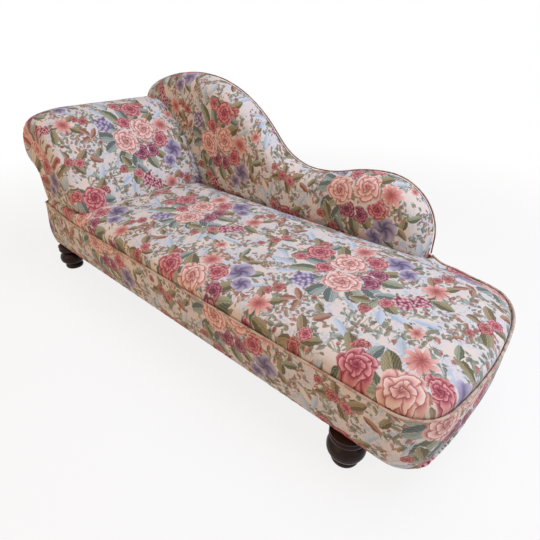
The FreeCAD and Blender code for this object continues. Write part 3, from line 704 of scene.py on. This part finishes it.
# (across, up, direction in degrees, half length, half width, kind), the lowest first
FOLIAGE = ((-112, -88, 240, 37, 10, SKY), (-96, -205, 250, 39, 12, SKY), (-116, -172, 205, 32, 10, SKY),
           (-72, -262, 280, 37, 10, SKY), (112, -158, 305, 32, 10, SKY), (-98, 122, 130, 37, 12, SKY),
           (-62, 172, 100, 39, 12, SKY), (118, 202, 60, 37, 10, SKY), (148, 66, 30, 28, 10, SKY),
           (-30, 200, 70, 35, 10, SKY),
           (-118, 8, 165, 48, 21, TEAL), (-112, -30, 205, 43, 20, TEAL), (-98, 60, 140, 50, 22, TEAL),
           (-56, 96, 118, 50, 22, SAGE), (-4, 96, 96, 45, 20, TEAL), (40, 82, 64, 41, 19, SAGE),
           (92, 62, 38, 45, 21, OLIVE), (-78, -72, 226, 48, 22, SAGE), (-40, -106, 252, 50, 22, TEAL),
           (26, -120, 286, 43, 19, SAGE), (66, -96, 312, 41, 18, OLIVE), (150, -130, 320, 30, 15, SAGE),
           (-92, -128, 170, 35, 18, SAGE), (-66, -168, 235, 35, 18, OLIVE), (-34, -140, 300, 32, 16, TEAL),
           (-84, -98, 110, 30, 15, OLIVE), (40, -236, 200, 32, 16, SAGE), (24, -262, 255, 32, 16, OLIVE),
           (104, -252, 320, 30, 14, OLIVE), (106, -200, 28, 28, 12, BRONZE), (4, 156, 150, 35, 16, SAGE),
           (96, 158, 45, 36, 16, OLIVE), (98, 102, -12, 32, 15, TEAL), (-2, 258, 200, 29, 14, OLIVE),
           (82, 284, 35, 29, 14, BRONZE), (26, 298, 100, 24, 11, BRONZE), (50, 236, -62, 27, 12, OLIVE),
           (132, -296, 200, 26, 11, RUST), (158, -280, 45, 24, 11, RUST), (130, -268, 125, 22, 10, RUST),
           (-112, -236, 60, 22, 10, BRONZE), (-128, 262, 80, 28, 12, OLIVE), (-100, 286, 20, 26, 11, SAGE),
           (-126, 226, -50, 24, 11, BRONZE), (122, 254, -30, 24, 11, RUST), (146, 282, 60, 22, 10, OLIVE))

group = bpy.data.node_groups.new("rose tapestry design", "ShaderNodeTree")
group.interface.new_socket("Cloth", in_out="INPUT", socket_type="NodeSocketVector")
group.interface.new_socket("Color", in_out="OUTPUT", socket_type="NodeSocketColor")
given = group.nodes.new("NodeGroupInput")
# Woven outlines step from thread to thread, so every edge wavers by a few millimetres
place = given
for scale, detail, reach in ((0.11, 2.0, 7), (0.016, 1.0, 18)):
    waver = add(group, NOISE, {"Vector": given, "Scale": scale, "Detail": detail})
    waver = add(group, VEC, (waver.outputs["Color"], (0.5, 0.5, 0.5)), "SUBTRACT")
    place = add(group, VEC, (waver, (reach, reach, 0), place), "MULTIPLY_ADD")
parts = add(group, SPLIT, (place,))
column = add(group, MATH, (parts.outputs[0], -COLUMN_LEFT), "ADD")
column = add(group, MATH, (column, COLUMN), "DIVIDE")
column = add(group, MATH, (column,), "FLOOR")
across = add(group, MATH, (column, -COLUMN, parts.outputs[0]), "MULTIPLY_ADD")
up = add(group, MATH, (column, -REPEAT / 2, parts.outputs[1]), "MULTIPLY_ADD")
up = add(group, MATH, (up, REPEAT / 2, -REPEAT / 2), "WRAP")
cell = add(group, "ShaderNodeCombineXYZ", (across, up, 1.0))

# Ground: pale cream with a bluish haze of faded sprays behind the bouquets
haze = add(group, NOISE, {"Vector": given, "Scale": 0.012, "Detail": 1.0})
haze = add(group, RANGE, (haze, 0.4, 0.56))
spray = add(group, NOISE, {"Vector": place, "Scale": 0.06, "Detail": 3.0, "Roughness": 0.62, "Distortion": 2.2})
spray = add(group, RANGE, (spray, 0.5, 0.56))
for factor in (haze, 0.8):
    spray = add(group, MATH, (spray, factor), "MULTIPLY")
colour = add(group, MIX, {0: haze, 6: tint("#E6DACD"), 7: tint("#E1DAD3")}, data_type="RGBA")
colour = add(group, MIX, {0: spray, 6: colour, 7: tint("#B4C6D4")}, data_type="RGBA")

# Sprigs gather in drifts with open ground between them, each drift in one family of colours
drift = add(group, NOISE, {"Vector": given, "Scale": 0.017, "Detail": 1.5})
family = add(group, NOISE, {"Vector": given, "Scale": 0.011, "Detail": 0.0})
family = add(group, RANGE, (family, 0.35, 0.65))

# Stems: thin dark lines that wander between the sprigs
stem = add(group, VORONOI, {"Vector": place, "Scale": 0.027}, feature="DISTANCE_TO_EDGE",
           voronoi_dimensions="2D")
stem = add(group, RANGE, (stem.outputs["Distance"], 0.04, 0.015))
sprig = add(group, RANGE, (drift, 0.47, 0.53))
for factor in (sprig, 0.75):
    stem = add(group, MATH, (stem, factor), "MULTIPLY")
colour = add(group, MIX, {0: stem, 6: colour, 7: tint("#857C62")}, data_type="RGBA")

# Small loose leaves and buds, one to a cell, turned every way
GREENS = ((0.0, "#9CA9A2"), (0.2, "#8B9079"), (0.38, "#7B8472"), (0.54, "#8E8468"), (0.7, "#998463"),
          (0.86, "#A67A66"))
REDS = ((0.0, "#BB716A"), (0.3, "#A65A5E"), (0.5, "#CF9A8E"), (0.72, "#9888A3"), (0.86, "#C48A80"))
for scale, length, width, low, stops in ((0.06, 8.5, 3.6, 0.48, GREENS), (0.05, 10.5, 4.4, 0.49, GREENS),
                                         (0.04, 14.0, 6.0, 0.5, GREENS), (0.033, 6.5, 5.4, 0.49, REDS)):
    spot = add(group, VORONOI, {"Vector": place, "Scale": scale}, voronoi_dimensions="2D")
    hue = add(group, SPLIT, (spot.outputs["Color"],))
    local = add(group, VEC, (place, spot.outputs["Position"]), "SUBTRACT")
    angle = add(group, MATH, (hue.outputs[0], 40.0), "MULTIPLY")
    local = add(group, "ShaderNodeVectorRotate", {"Vector": local, "Angle": angle}, rotation_type="Z_AXIS")
    local = add(group, VEC, (local, (1 / length, 1 / width, 0)), "MULTIPLY")
    axis = add(group, SPLIT, (local,))
    wide = add(group, MATH, (axis.outputs[1],), "ABSOLUTE")
    inside = add(group, MATH, (axis.outputs[0], axis.outputs[0], wide), "MULTIPLY_ADD")
    inside = add(group, RANGE, (inside, 1.05, 0.9))
    kept = add(group, MATH, (hue.outputs[2], 0.16, drift), "MULTIPLY_ADD")
    kept = add(group, MATH, (kept, low + 0.08), "GREATER_THAN")
    for factor in (kept, 0.86):
        inside = add(group, MATH, (inside, factor), "MULTIPLY")
    shade = add(group, MATH, (hue.outputs[1], 0.45), "MULTIPLY")
    shade = add(group, MATH, (family, 0.6, shade), "MULTIPLY_ADD")
    shade = ramp(add(group, RAMP, (shade,)), stops, "CONSTANT")
    lit = add(group, RANGE, (axis.outputs[1], -0.3, 0.3, 0.68, 1.15))
    shade = add(group, VEC, {0: shade, "Scale": lit}, "SCALE")
    colour = add(group, MIX, {0: inside, 6: colour, 7: shade}, data_type="RGBA")


def nearest(entries):
    """The place inside the topmost motif at each point, with a tenth of its kind as the third number."""
    found = add(group, "ShaderNodeCombineXYZ", (9.0, 9.0))
    for x, y, turn, long, wide, kind in entries:
        cosine, sine = math.cos(math.radians(turn)), math.sin(math.radians(turn))
        lengthwise = (cosine / long, sine / long, -(x * cosine + y * sine) / long)
        sideways = (-sine / wide, cosine / wide, (x * sine - y * cosine) / wide)
        lengthwise = add(group, VEC, (cell, lengthwise), "DOT_PRODUCT").outputs["Value"]
        sideways = add(group, VEC, (cell, sideways), "DOT_PRODUCT").outputs["Value"]
        local = add(group, "ShaderNodeCombineXYZ", (lengthwise, sideways, kind / 100))
        reach = add(group, VEC, (local,), "LENGTH").outputs["Value"]
        within = add(group, MATH, (reach, 1.0), "LESS_THAN")
        found = add(group, MIX, {0: within, 4: found, 5: local}, data_type="VECTOR")
    return found


def by_kind(shades):
    """Stops that give each kind its colour round a tenth of the kind's number."""
    return [((index + 0.5) / 10, shade) for index, shade in enumerate(shades)]


def petals(value, factor):
    """Rounded lobes side by side round a flower."""
    value = add(group, MATH, (value, factor), "MULTIPLY")
    for operation in ("COSINE", "ABSOLUTE"):
        value = add(group, MATH, (value,), operation)
    return value


# Large leaves: one side lit, a pale midrib, darker veins
leaf = nearest(FOLIAGE)
axis = add(group, SPLIT, (leaf,))
kind = add(group, MATH, (axis.outputs[2], 10.0), "MULTIPLY")
wide = add(group, MATH, (axis.outputs[1],), "ABSOLUTE")
long = add(group, MATH, (axis.outputs[0],), "ABSOLUTE")
tip = add(group, MATH, (long, 2.4), "POWER")
tip = add(group, MATH, (tip, wide), "ADD")
outline = add(group, RANGE, (tip, 1.02, 0.92))
vein = add(group, MATH, (wide, -1.1, axis.outputs[0]), "MULTIPLY_ADD")
vein = add(group, MATH, (vein, 3.2), "MULTIPLY")
vein = add(group, MATH, (vein,), "FRACT")
lit = add(group, RANGE, (axis.outputs[1], -0.25, 0.5, 0.12, 0.85))
lit = add(group, MATH, (vein, 0.6, lit), "MULTIPLY_ADD")
lit = add(group, MATH, (lit, 0.26), "SUBTRACT", use_clamp=True)
rib = add(group, RANGE, (wide, 0.12, 0.05))
lit = add(group, MATH, (rib, 0.45, lit), "MULTIPLY_ADD", use_clamp=True)
shadow, light = [ramp(add(group, RAMP, (kind,)), by_kind(shades), "CONSTANT") for shades in zip(*LEAVES)]
leafy = add(group, MIX, {0: lit, 6: shadow, 7: light}, data_type="RGBA")
colour = add(group, MIX, {0: outline, 6: colour, 7: leafy}, data_type="RGBA")

# Flowers: whorled roses, rayed blooms and clusters of florets
bloom = nearest([(x, y, turn, size, size, kind) for x, y, size, turn, kind in BLOOMS])
axis = add(group, SPLIT, (bloom,))
kind = add(group, MATH, (axis.outputs[2], 10.0), "MULTIPLY")
reach = add(group, VEC, (bloom,), "LENGTH").outputs["Value"]
angle = add(group, MATH, (axis.outputs[1], axis.outputs[0]), "ARCTAN2")
turned = add(group, MATH, (reach, 1.4, angle), "MULTIPLY_ADD")
five = petals(turned, 2.5)
rays = petals(angle, 4.5)
rim = add(group, MATH, (five, 0.17, 0.82), "MULTIPLY_ADD")
ray_rim = add(group, MATH, (rays, 0.5, 0.48), "MULTIPLY_ADD")
rayed = add(group, MATH, (kind, 0.4, 0.04), "COMPARE")
rim = add(group, MIX, {0: rayed, 2: rim, 3: ray_rim})
share = add(group, MATH, (reach, rim), "DIVIDE")
outline = add(group, RANGE, (share, 1.0, 0.94))
# A rose's petals overlap in a spiral, five to a turn: dark gaps between them, rolled pale rims
lobe = add(group, MATH, (angle, 3.0), "MULTIPLY")
lobe = add(group, MATH, (reach, 5.0, lobe), "MULTIPLY_ADD")
lobe = add(group, MATH, (lobe,), "SINE")
whorl = add(group, MATH, (angle, 1 / math.tau), "MULTIPLY")
whorl = add(group, MATH, (share, 3.3, whorl), "MULTIPLY_ADD")
whorl = add(group, MATH, (lobe, 0.16, whorl), "MULTIPLY_ADD")
turn_number = add(group, MATH, (whorl,), "FLOOR")
whorl = add(group, MATH, (whorl,), "FRACT")
whorl = add(group, MATH, (whorl, 0.55), "POWER")
slit = add(group, MATH, (angle, 2.5), "MULTIPLY")
slit = add(group, MATH, (turn_number, 1.1, slit), "MULTIPLY_ADD")
for operation in ("COSINE", "ABSOLUTE"):
    slit = add(group, MATH, (slit,), operation)
slit = add(group, MATH, (slit, 1.9, 0.22), "MULTIPLY_ADD")
heart = add(group, RANGE, (reach, 0.02, 0.5, 0.35, 1.0))
petal = add(group, MATH, (whorl, slit), "MINIMUM")
petal = add(group, MATH, (petal, heart), "MULTIPLY")
# Rayed and five-petalled flowers: dark heart, light tips, dark gaps
streak = add(group, MATH, (share, 0.75), "MULTIPLY")
gaps = add(group, MIX, {0: rayed, 2: five, 3: rays})
streak = add(group, MATH, (gaps, 0.4, streak), "MULTIPLY_ADD")
streak = add(group, MATH, (streak, 0.12), "SUBTRACT")
# Clusters: rounded florets side by side
floret = add(group, VEC, (bloom, (2.6, 2.6, 0)), "MULTIPLY")
floret = add(group, VORONOI, {"Vector": floret, "Scale": 1.0}, voronoi_dimensions="2D")
floret = add(group, RANGE, (floret.outputs["Distance"], 0.62, 0.05))
clustered = add(group, MATH, (kind, 0.65, 0.09), "COMPARE")
flat = add(group, MATH, (kind, 0.45, 0.09), "COMPARE")
tone = add(group, MIX, {0: flat, 2: petal, 3: streak})
tone = add(group, MIX, {0: clustered, 2: tone, 3: floret})
lower = add(group, RANGE, (tone, 0.05, 0.5))
upper = add(group, RANGE, (tone, 0.48, 0.95))
dark, body, light = [ramp(add(group, RAMP, (kind,)), by_kind(shades), "CONSTANT") for shades in zip(*FLOWERS)]
flower = add(group, MIX, {0: lower, 6: dark, 7: body}, data_type="RGBA")
flower = add(group, MIX, {0: upper, 6: flower, 7: light}, data_type="RGBA")
colour = add(group, MIX, {0: outline, 6: colour, 7: flower}, data_type="RGBA")
# Heathered threads: weft picks of slightly different dye
thread = add(group, VEC, (given, (0.35, 1.1, 0)), "MULTIPLY")
thread = add(group, NOISE, {"Vector": thread, "Scale": 1.0, "Detail": 1.0})
thread = add(group, RANGE, (thread, 0.3, 0.7, 0.9, 1.07))
colour = add(group, VEC, {0: colour, "Scale": thread}, "SCALE")
add(group, "NodeGroupOutput", (colour,))


WEFT_PITCH, WARP_PITCH = 1.6, 2.2


def woven(name, patterned):
    """Cotton tapestry: matt, thick and slightly furry, with fine ribs; a faint sheen where it turns away."""
    made, tree, surface = material(name)
    if patterned:
        cloth_place = add(tree, "ShaderNodeUVMap", uv_map="cloth")
    else:
        cloth_place = add(tree, "ShaderNodeTexCoord").outputs["Object"]
    threads = add(tree, VEC, {0: cloth_place, "Scale": 1000.0}, "SCALE")
    parts = add(tree, SPLIT, (threads,))
    ribs = [add(tree, MATH, (parts.outputs[axis], math.tau / pitch), "MULTIPLY")
            for axis, pitch in ((1, WEFT_PITCH), (0, WARP_PITCH))]
    weft, warp = [add(tree, MATH, (rib,), "SINE") for rib in ribs]
    weave = add(tree, MATH, (weft, warp), "MULTIPLY")
    slub = add(tree, NOISE, {"Vector": threads, "Scale": 0.2, "Detail": 3.0})
    height = add(tree, MATH, (slub, 2.0, weave), "MULTIPLY_ADD")
    relief = add(tree, "ShaderNodeBump", {"Height": height, "Strength": 0.35, "Distance": 0.0004})
    rough = add(tree, RANGE, (slub, 0, 1, 0.78, 0.95))
    feed(surface, {"Normal": relief, "Roughness": rough})
    surface.inputs["Sheen Weight"].default_value = 0.12
    surface.inputs["Sheen Roughness"].default_value = 0.5
    surface.inputs["Specular IOR Level"].default_value = 0.25
    return made, tree, surface, threads


tapestry, tree, surface, threads = woven("woven cotton tapestry", True)
feed(surface, {"Base Color": add(tree, "ShaderNodeGroup", (threads,), node_tree=group)})

# The same cloth cut on the bias over cord: only patches of its colours show
for name, pieces, stops in (("bias-cut tapestry piping", (piping,),
                             ((0.0, "#DCCDBD"), (0.47, "#D2BEAB"), (0.53, "#B98575"), (0.58, "#C9B6A2"),
                              (0.66, "#7F8068"))),
                            # The facing cord wears this darker rose welt cloth as painted shade: its dark
                            # colour stands in for the shadow in the seam between facing and roll. On the rear
                            # welt the same cloth is the welt's own colour.
                            ("rose-coloured tapestry welt", (welt, seam),
                             ((0.0, "#A86E64"), (0.45, "#95564F"), (0.55, "#BFA08C"), (0.68, "#75705A")))):
    made, tree, surface, threads = woven(name, False)
    patch = add(tree, NOISE, {"Vector": threads, "Scale": 0.03, "Detail": 2.0})
    feed(surface, {"Base Color": ramp(add(tree, RAMP, (patch,)), stops)})
    for piece in pieces:
        dress(piece, made)


# Where each piece's cloth lies: across the repeat and up it, in metres from a bouquet's heart

def seat_cloth(co, normal):
    u, v, z = place_of(co)
    drop = (1 - ease(v, 0, 160)) * (350 - z) * 0.35
    return ((v - 291 - drop) / 1000, (1333 - u) / 1000)


along_roll = along([Vector((point.x, point.z)) for point in roll_line])
rose_place = along_roll(Vector((at(223, 0, 0).x, 0.538)))


def headrest_cloth(co, normal):
    v = co.y * 1000 + MIDDLE_V
    turned_in = 18 * (1 - ease(v, 28, 60))
    return ((v - 353 - turned_in) / 1000, rose_place - along_roll(Vector((co.x, co.z))))


def back_cloth(co, normal):
    u, v, z = place_of(co)
    over = 45 * (max(v - BACK_FRONT, 0) / 72) ** 1.6
    side = Vector((normal.x, normal.z))
    side = side.normalized() * over if side.length > 0.05 else side * 0
    return (((u - 497) * 0.975 + side.x) / 1000, (z - 531 + side.y + 0.075 * (u - 497)) / 1000)


along_border = along([point.xy for point in border_line])
front_start = along_border(at(0, 20, 0).xy)


def border_cloth(co, normal):
    run = (along_border(co.xy) - front_start) * 1000 + 20
    return ((run - 1189) / 1000, (co.z * 1000 - 290) / 1000)


def facing_cloth(co, normal):
    return (co.x + (MIDDLE_U - 30) / 1000, co.z - 0.518)


def outside_cloth(co, normal):
    return (-co.x - 0.3, co.z - 0.45)


padded_pieces = (seat, headrest, back, border, facing, outside)
for piece, spread in zip(padded_pieces, (seat_cloth, headrest_cloth, back_cloth, border_cloth, facing_cloth,
                                         outside_cloth)):
    lay_cloth(piece, spread)
    dress(piece, tapestry)

# Lacquered beech: turned, stained almost black, satin with long fine grain and worn ring edges
lacquer, tree, surface = material("black-brown lacquered beech")
spot = add(tree, "ShaderNodeTexCoord").outputs["Object"]
grain = add(tree, MAP, {"Vector": spot, "Scale": (90, 90, 14)})
grain = add(tree, NOISE, {"Vector": grain, "Scale": 4.0, "Detail": 5.0, "Roughness": 0.65})
worn = add(tree, "ShaderNodeNewGeometry").outputs["Pointiness"]
worn = add(tree, RANGE, (worn, 0.52, 0.6))
stain = ramp(add(tree, RAMP, (grain,)), ((0.3, "#190E0A"), (0.55, "#281610"), (0.8, "#3B2319")))
stain = add(tree, MIX, {0: worn, 6: stain, 7: tint("#44291D")}, data_type="RGBA")
gloss = add(tree, RANGE, (grain, 0, 1, 0.26, 0.42))
relief = add(tree, "ShaderNodeBump", {"Height": grain, "Strength": 0.12, "Distance": 0.0005})
feed(surface, {"Base Color": stain, "Roughness": gloss, "Normal": relief})
surface.inputs["Coat Weight"].default_value = 0.05
surface.inputs["Specular IOR Level"].default_value = 0.13
surface.inputs["Coat Roughness"].default_value = 0.22
for piece in wood_pieces:
    dress(piece, lacquer)


def rough_stock(name, dark, pale, stretch, roughness, metal=0.0):
    """Unfinished stock inside the couch: a streaked or woven colour with its own grain in relief."""
    made, tree, surface = material(name)
    spot = add(tree, "ShaderNodeTexCoord").outputs["Object"]
    streak = add(tree, MAP, {"Vector": spot, "Scale": stretch})
    streak = add(tree, NOISE, {"Vector": streak, "Scale": 1.0, "Detail": 5.0, "Roughness": 0.6})
    shade = ramp(add(tree, RAMP, (streak,)), ((0.35, dark), (0.7, pale)))
    relief = add(tree, "ShaderNodeBump", {"Height": streak, "Strength": 0.25, "Distance": 0.0006})
    feed(surface, {"Base Color": shade, "Normal": relief})
    surface.inputs["Roughness"].default_value = roughness
    surface.inputs["Metallic"].default_value = metal
    return made


# Sawn beech: pale pinkish tan, grain a few millimetres wide along the rail
beech = rough_stock("sawn beech", "#A5835F", "#C9A980", (12, 260, 260), 0.7)
upright_beech = rough_stock("sawn beech, upright", "#A5835F", "#C9A980", (260, 260, 12), 0.7)
# Poplar plywood: wide pale figure
ply = rough_stock("poplar plywood", "#B89B72", "#D8C09A", (30, 200, 90), 0.75)
# Tempered spring wire: blued and oiled, with fine drawing marks
wire = rough_stock("oiled spring steel", "#4A4C50", "#7A7C80", (300, 300, 300), 0.38, 1.0)
# Jute: coarse brown yarn 2 mm thick
jute = rough_stock("coarse jute", "#7A6040", "#A88D62", (450, 450, 450), 0.9)
# Stitched-bonded fibre: off-white felt
felt = rough_stock("off-white fibre felt", "#CFC9BC", "#E6E1D6", (120, 120, 120), 0.95)
# Spun-bonded polypropylene: matt black cloth with a faint mottle
black = rough_stock("black spun cloth", "#121212", "#222120", (220, 220, 220), 0.85)
# Nylon glide: moulded, dull dark brown
nylon = rough_stock("moulded nylon", "#1C1815", "#2A2420", (200, 200, 200), 0.5)
STOCKS = {"frame_timber": beech, "plywood": ply, "spring_steel": wire, "jute": jute, "dust_cloth": black,
          "glide_plastic": nylon}
for item in frame["record"]["subparts"]:
    name, stock = item["node"], STOCKS.get(item["material_slot"], felt)
    if name.startswith(("back_post", "scroll_board", "rail_head")):
        stock = upright_beech
    dress(frame["nodes"][name], stock)
dress(underside, black)

for piece in (*padded_pieces, piping, welt, seam, underside, *wood_pieces):
    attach(piece, "root")

# Studio

def seen_white(tree):
    """1 for rays that reach the lens straight, by reflection or through glass, 0 for those that only light."""
    rays = add(tree, "ShaderNodeLightPath")
    seen = add(tree, MATH, (rays.outputs["Is Camera Ray"], rays.outputs["Is Glossy Ray"]),
               "MAXIMUM")
    return add(tree, MATH, (seen, rays.outputs["Is Transmission Ray"]), "MAXIMUM")


floor_mesh = bmesh.new()
bmesh.ops.create_grid(floor_mesh, x_segments=1, y_segments=1, size=40)
floor = finished(floor_mesh, "studio_floor", False)
# Seamless white paper: matt, shown nearly white to the lens, with the couch's soft shadow left on it
paper, tree, surface = material("white seamless paper")
surface.inputs["Base Color"].default_value = tint("#E9E7E4")
surface.inputs["Roughness"].default_value = 1.0
surface.inputs["Specular IOR Level"].default_value = 0.0
spot = add(tree, "ShaderNodeTexCoord").outputs["Object"]
far = add(tree, VEC, (spot,), "LENGTH").outputs["Value"]
far = add(tree, RANGE, (far, 1.2, 3.0, 0.84, 1.0),
          interpolation_type="SMOOTHSTEP")
seen = add(tree, MATH, (seen_white(tree), far), "MULTIPLY")
glow = add(tree, "ShaderNodeEmission", {"Color": (1, 1, 1, 1), "Strength": 1.0})
blend = add(tree, "ShaderNodeMixShader", (seen, surface.outputs[0], glow))
feed(tree.nodes["Material Output"], {"Surface": blend})
dress(floor, paper)

world = bpy.data.worlds.new("studio")
scene.world = world
world.use_nodes = True
tree = world.node_tree
room = tree.nodes["Background"]
room.inputs["Color"].default_value = tint("#F0D6BC")
room.inputs["Strength"].default_value = 0.36
lit = add(tree, "ShaderNodeBackground", {"Color": (1, 1, 1, 1), "Strength": 1.0})
blend = add(tree, "ShaderNodeMixShader", (seen_white(tree), room, lit))
feed(tree.nodes["World Output"], {"Surface": blend})


def lamp(name, place, aim, size, watts, colour):
    """A square soft box."""
    data = bpy.data.lights.new(name, "AREA")
    data.shape = "SQUARE"
    data.size = size
    data.energy = watts
    data.color = tint(colour)[:3]
    holder = bpy.data.objects.new(name, data)
    holder.location = place
    holder.rotation_euler = (Vector(aim) - Vector(place)).to_track_quat("-Z", "Y").to_euler()
    scene.collection.objects.link(holder)


lamp("overhead_softbox", (1.2, 0.4, 2.9), (0.35, 0.0, 0.3), 2.2, 68, "#D6E3FF")
lamp("front_softbox", (-0.6, -3.4, 1.7), (0.0, 0, 0.35), 2.4, 35, "#FFC78C")
lamp("end_softbox", (3.2, 0.2, 1.6), (0.4, 0, 0.35), 1.8, 28, "#E4EBFF")

camera_data = bpy.data.cameras.new("camera")
camera_data.sensor_width = 36
camera_data.lens = 27.04
camera = bpy.data.objects.new("camera", camera_data)
camera.location = (0.9759, -0.9030, 0.9425)
camera.rotation_euler = Euler((math.radians(59.0), 0, math.radians(41.7)))
scene.collection.objects.link(camera)
scene.camera = camera
scene.view_settings.view_transform = "Standard"
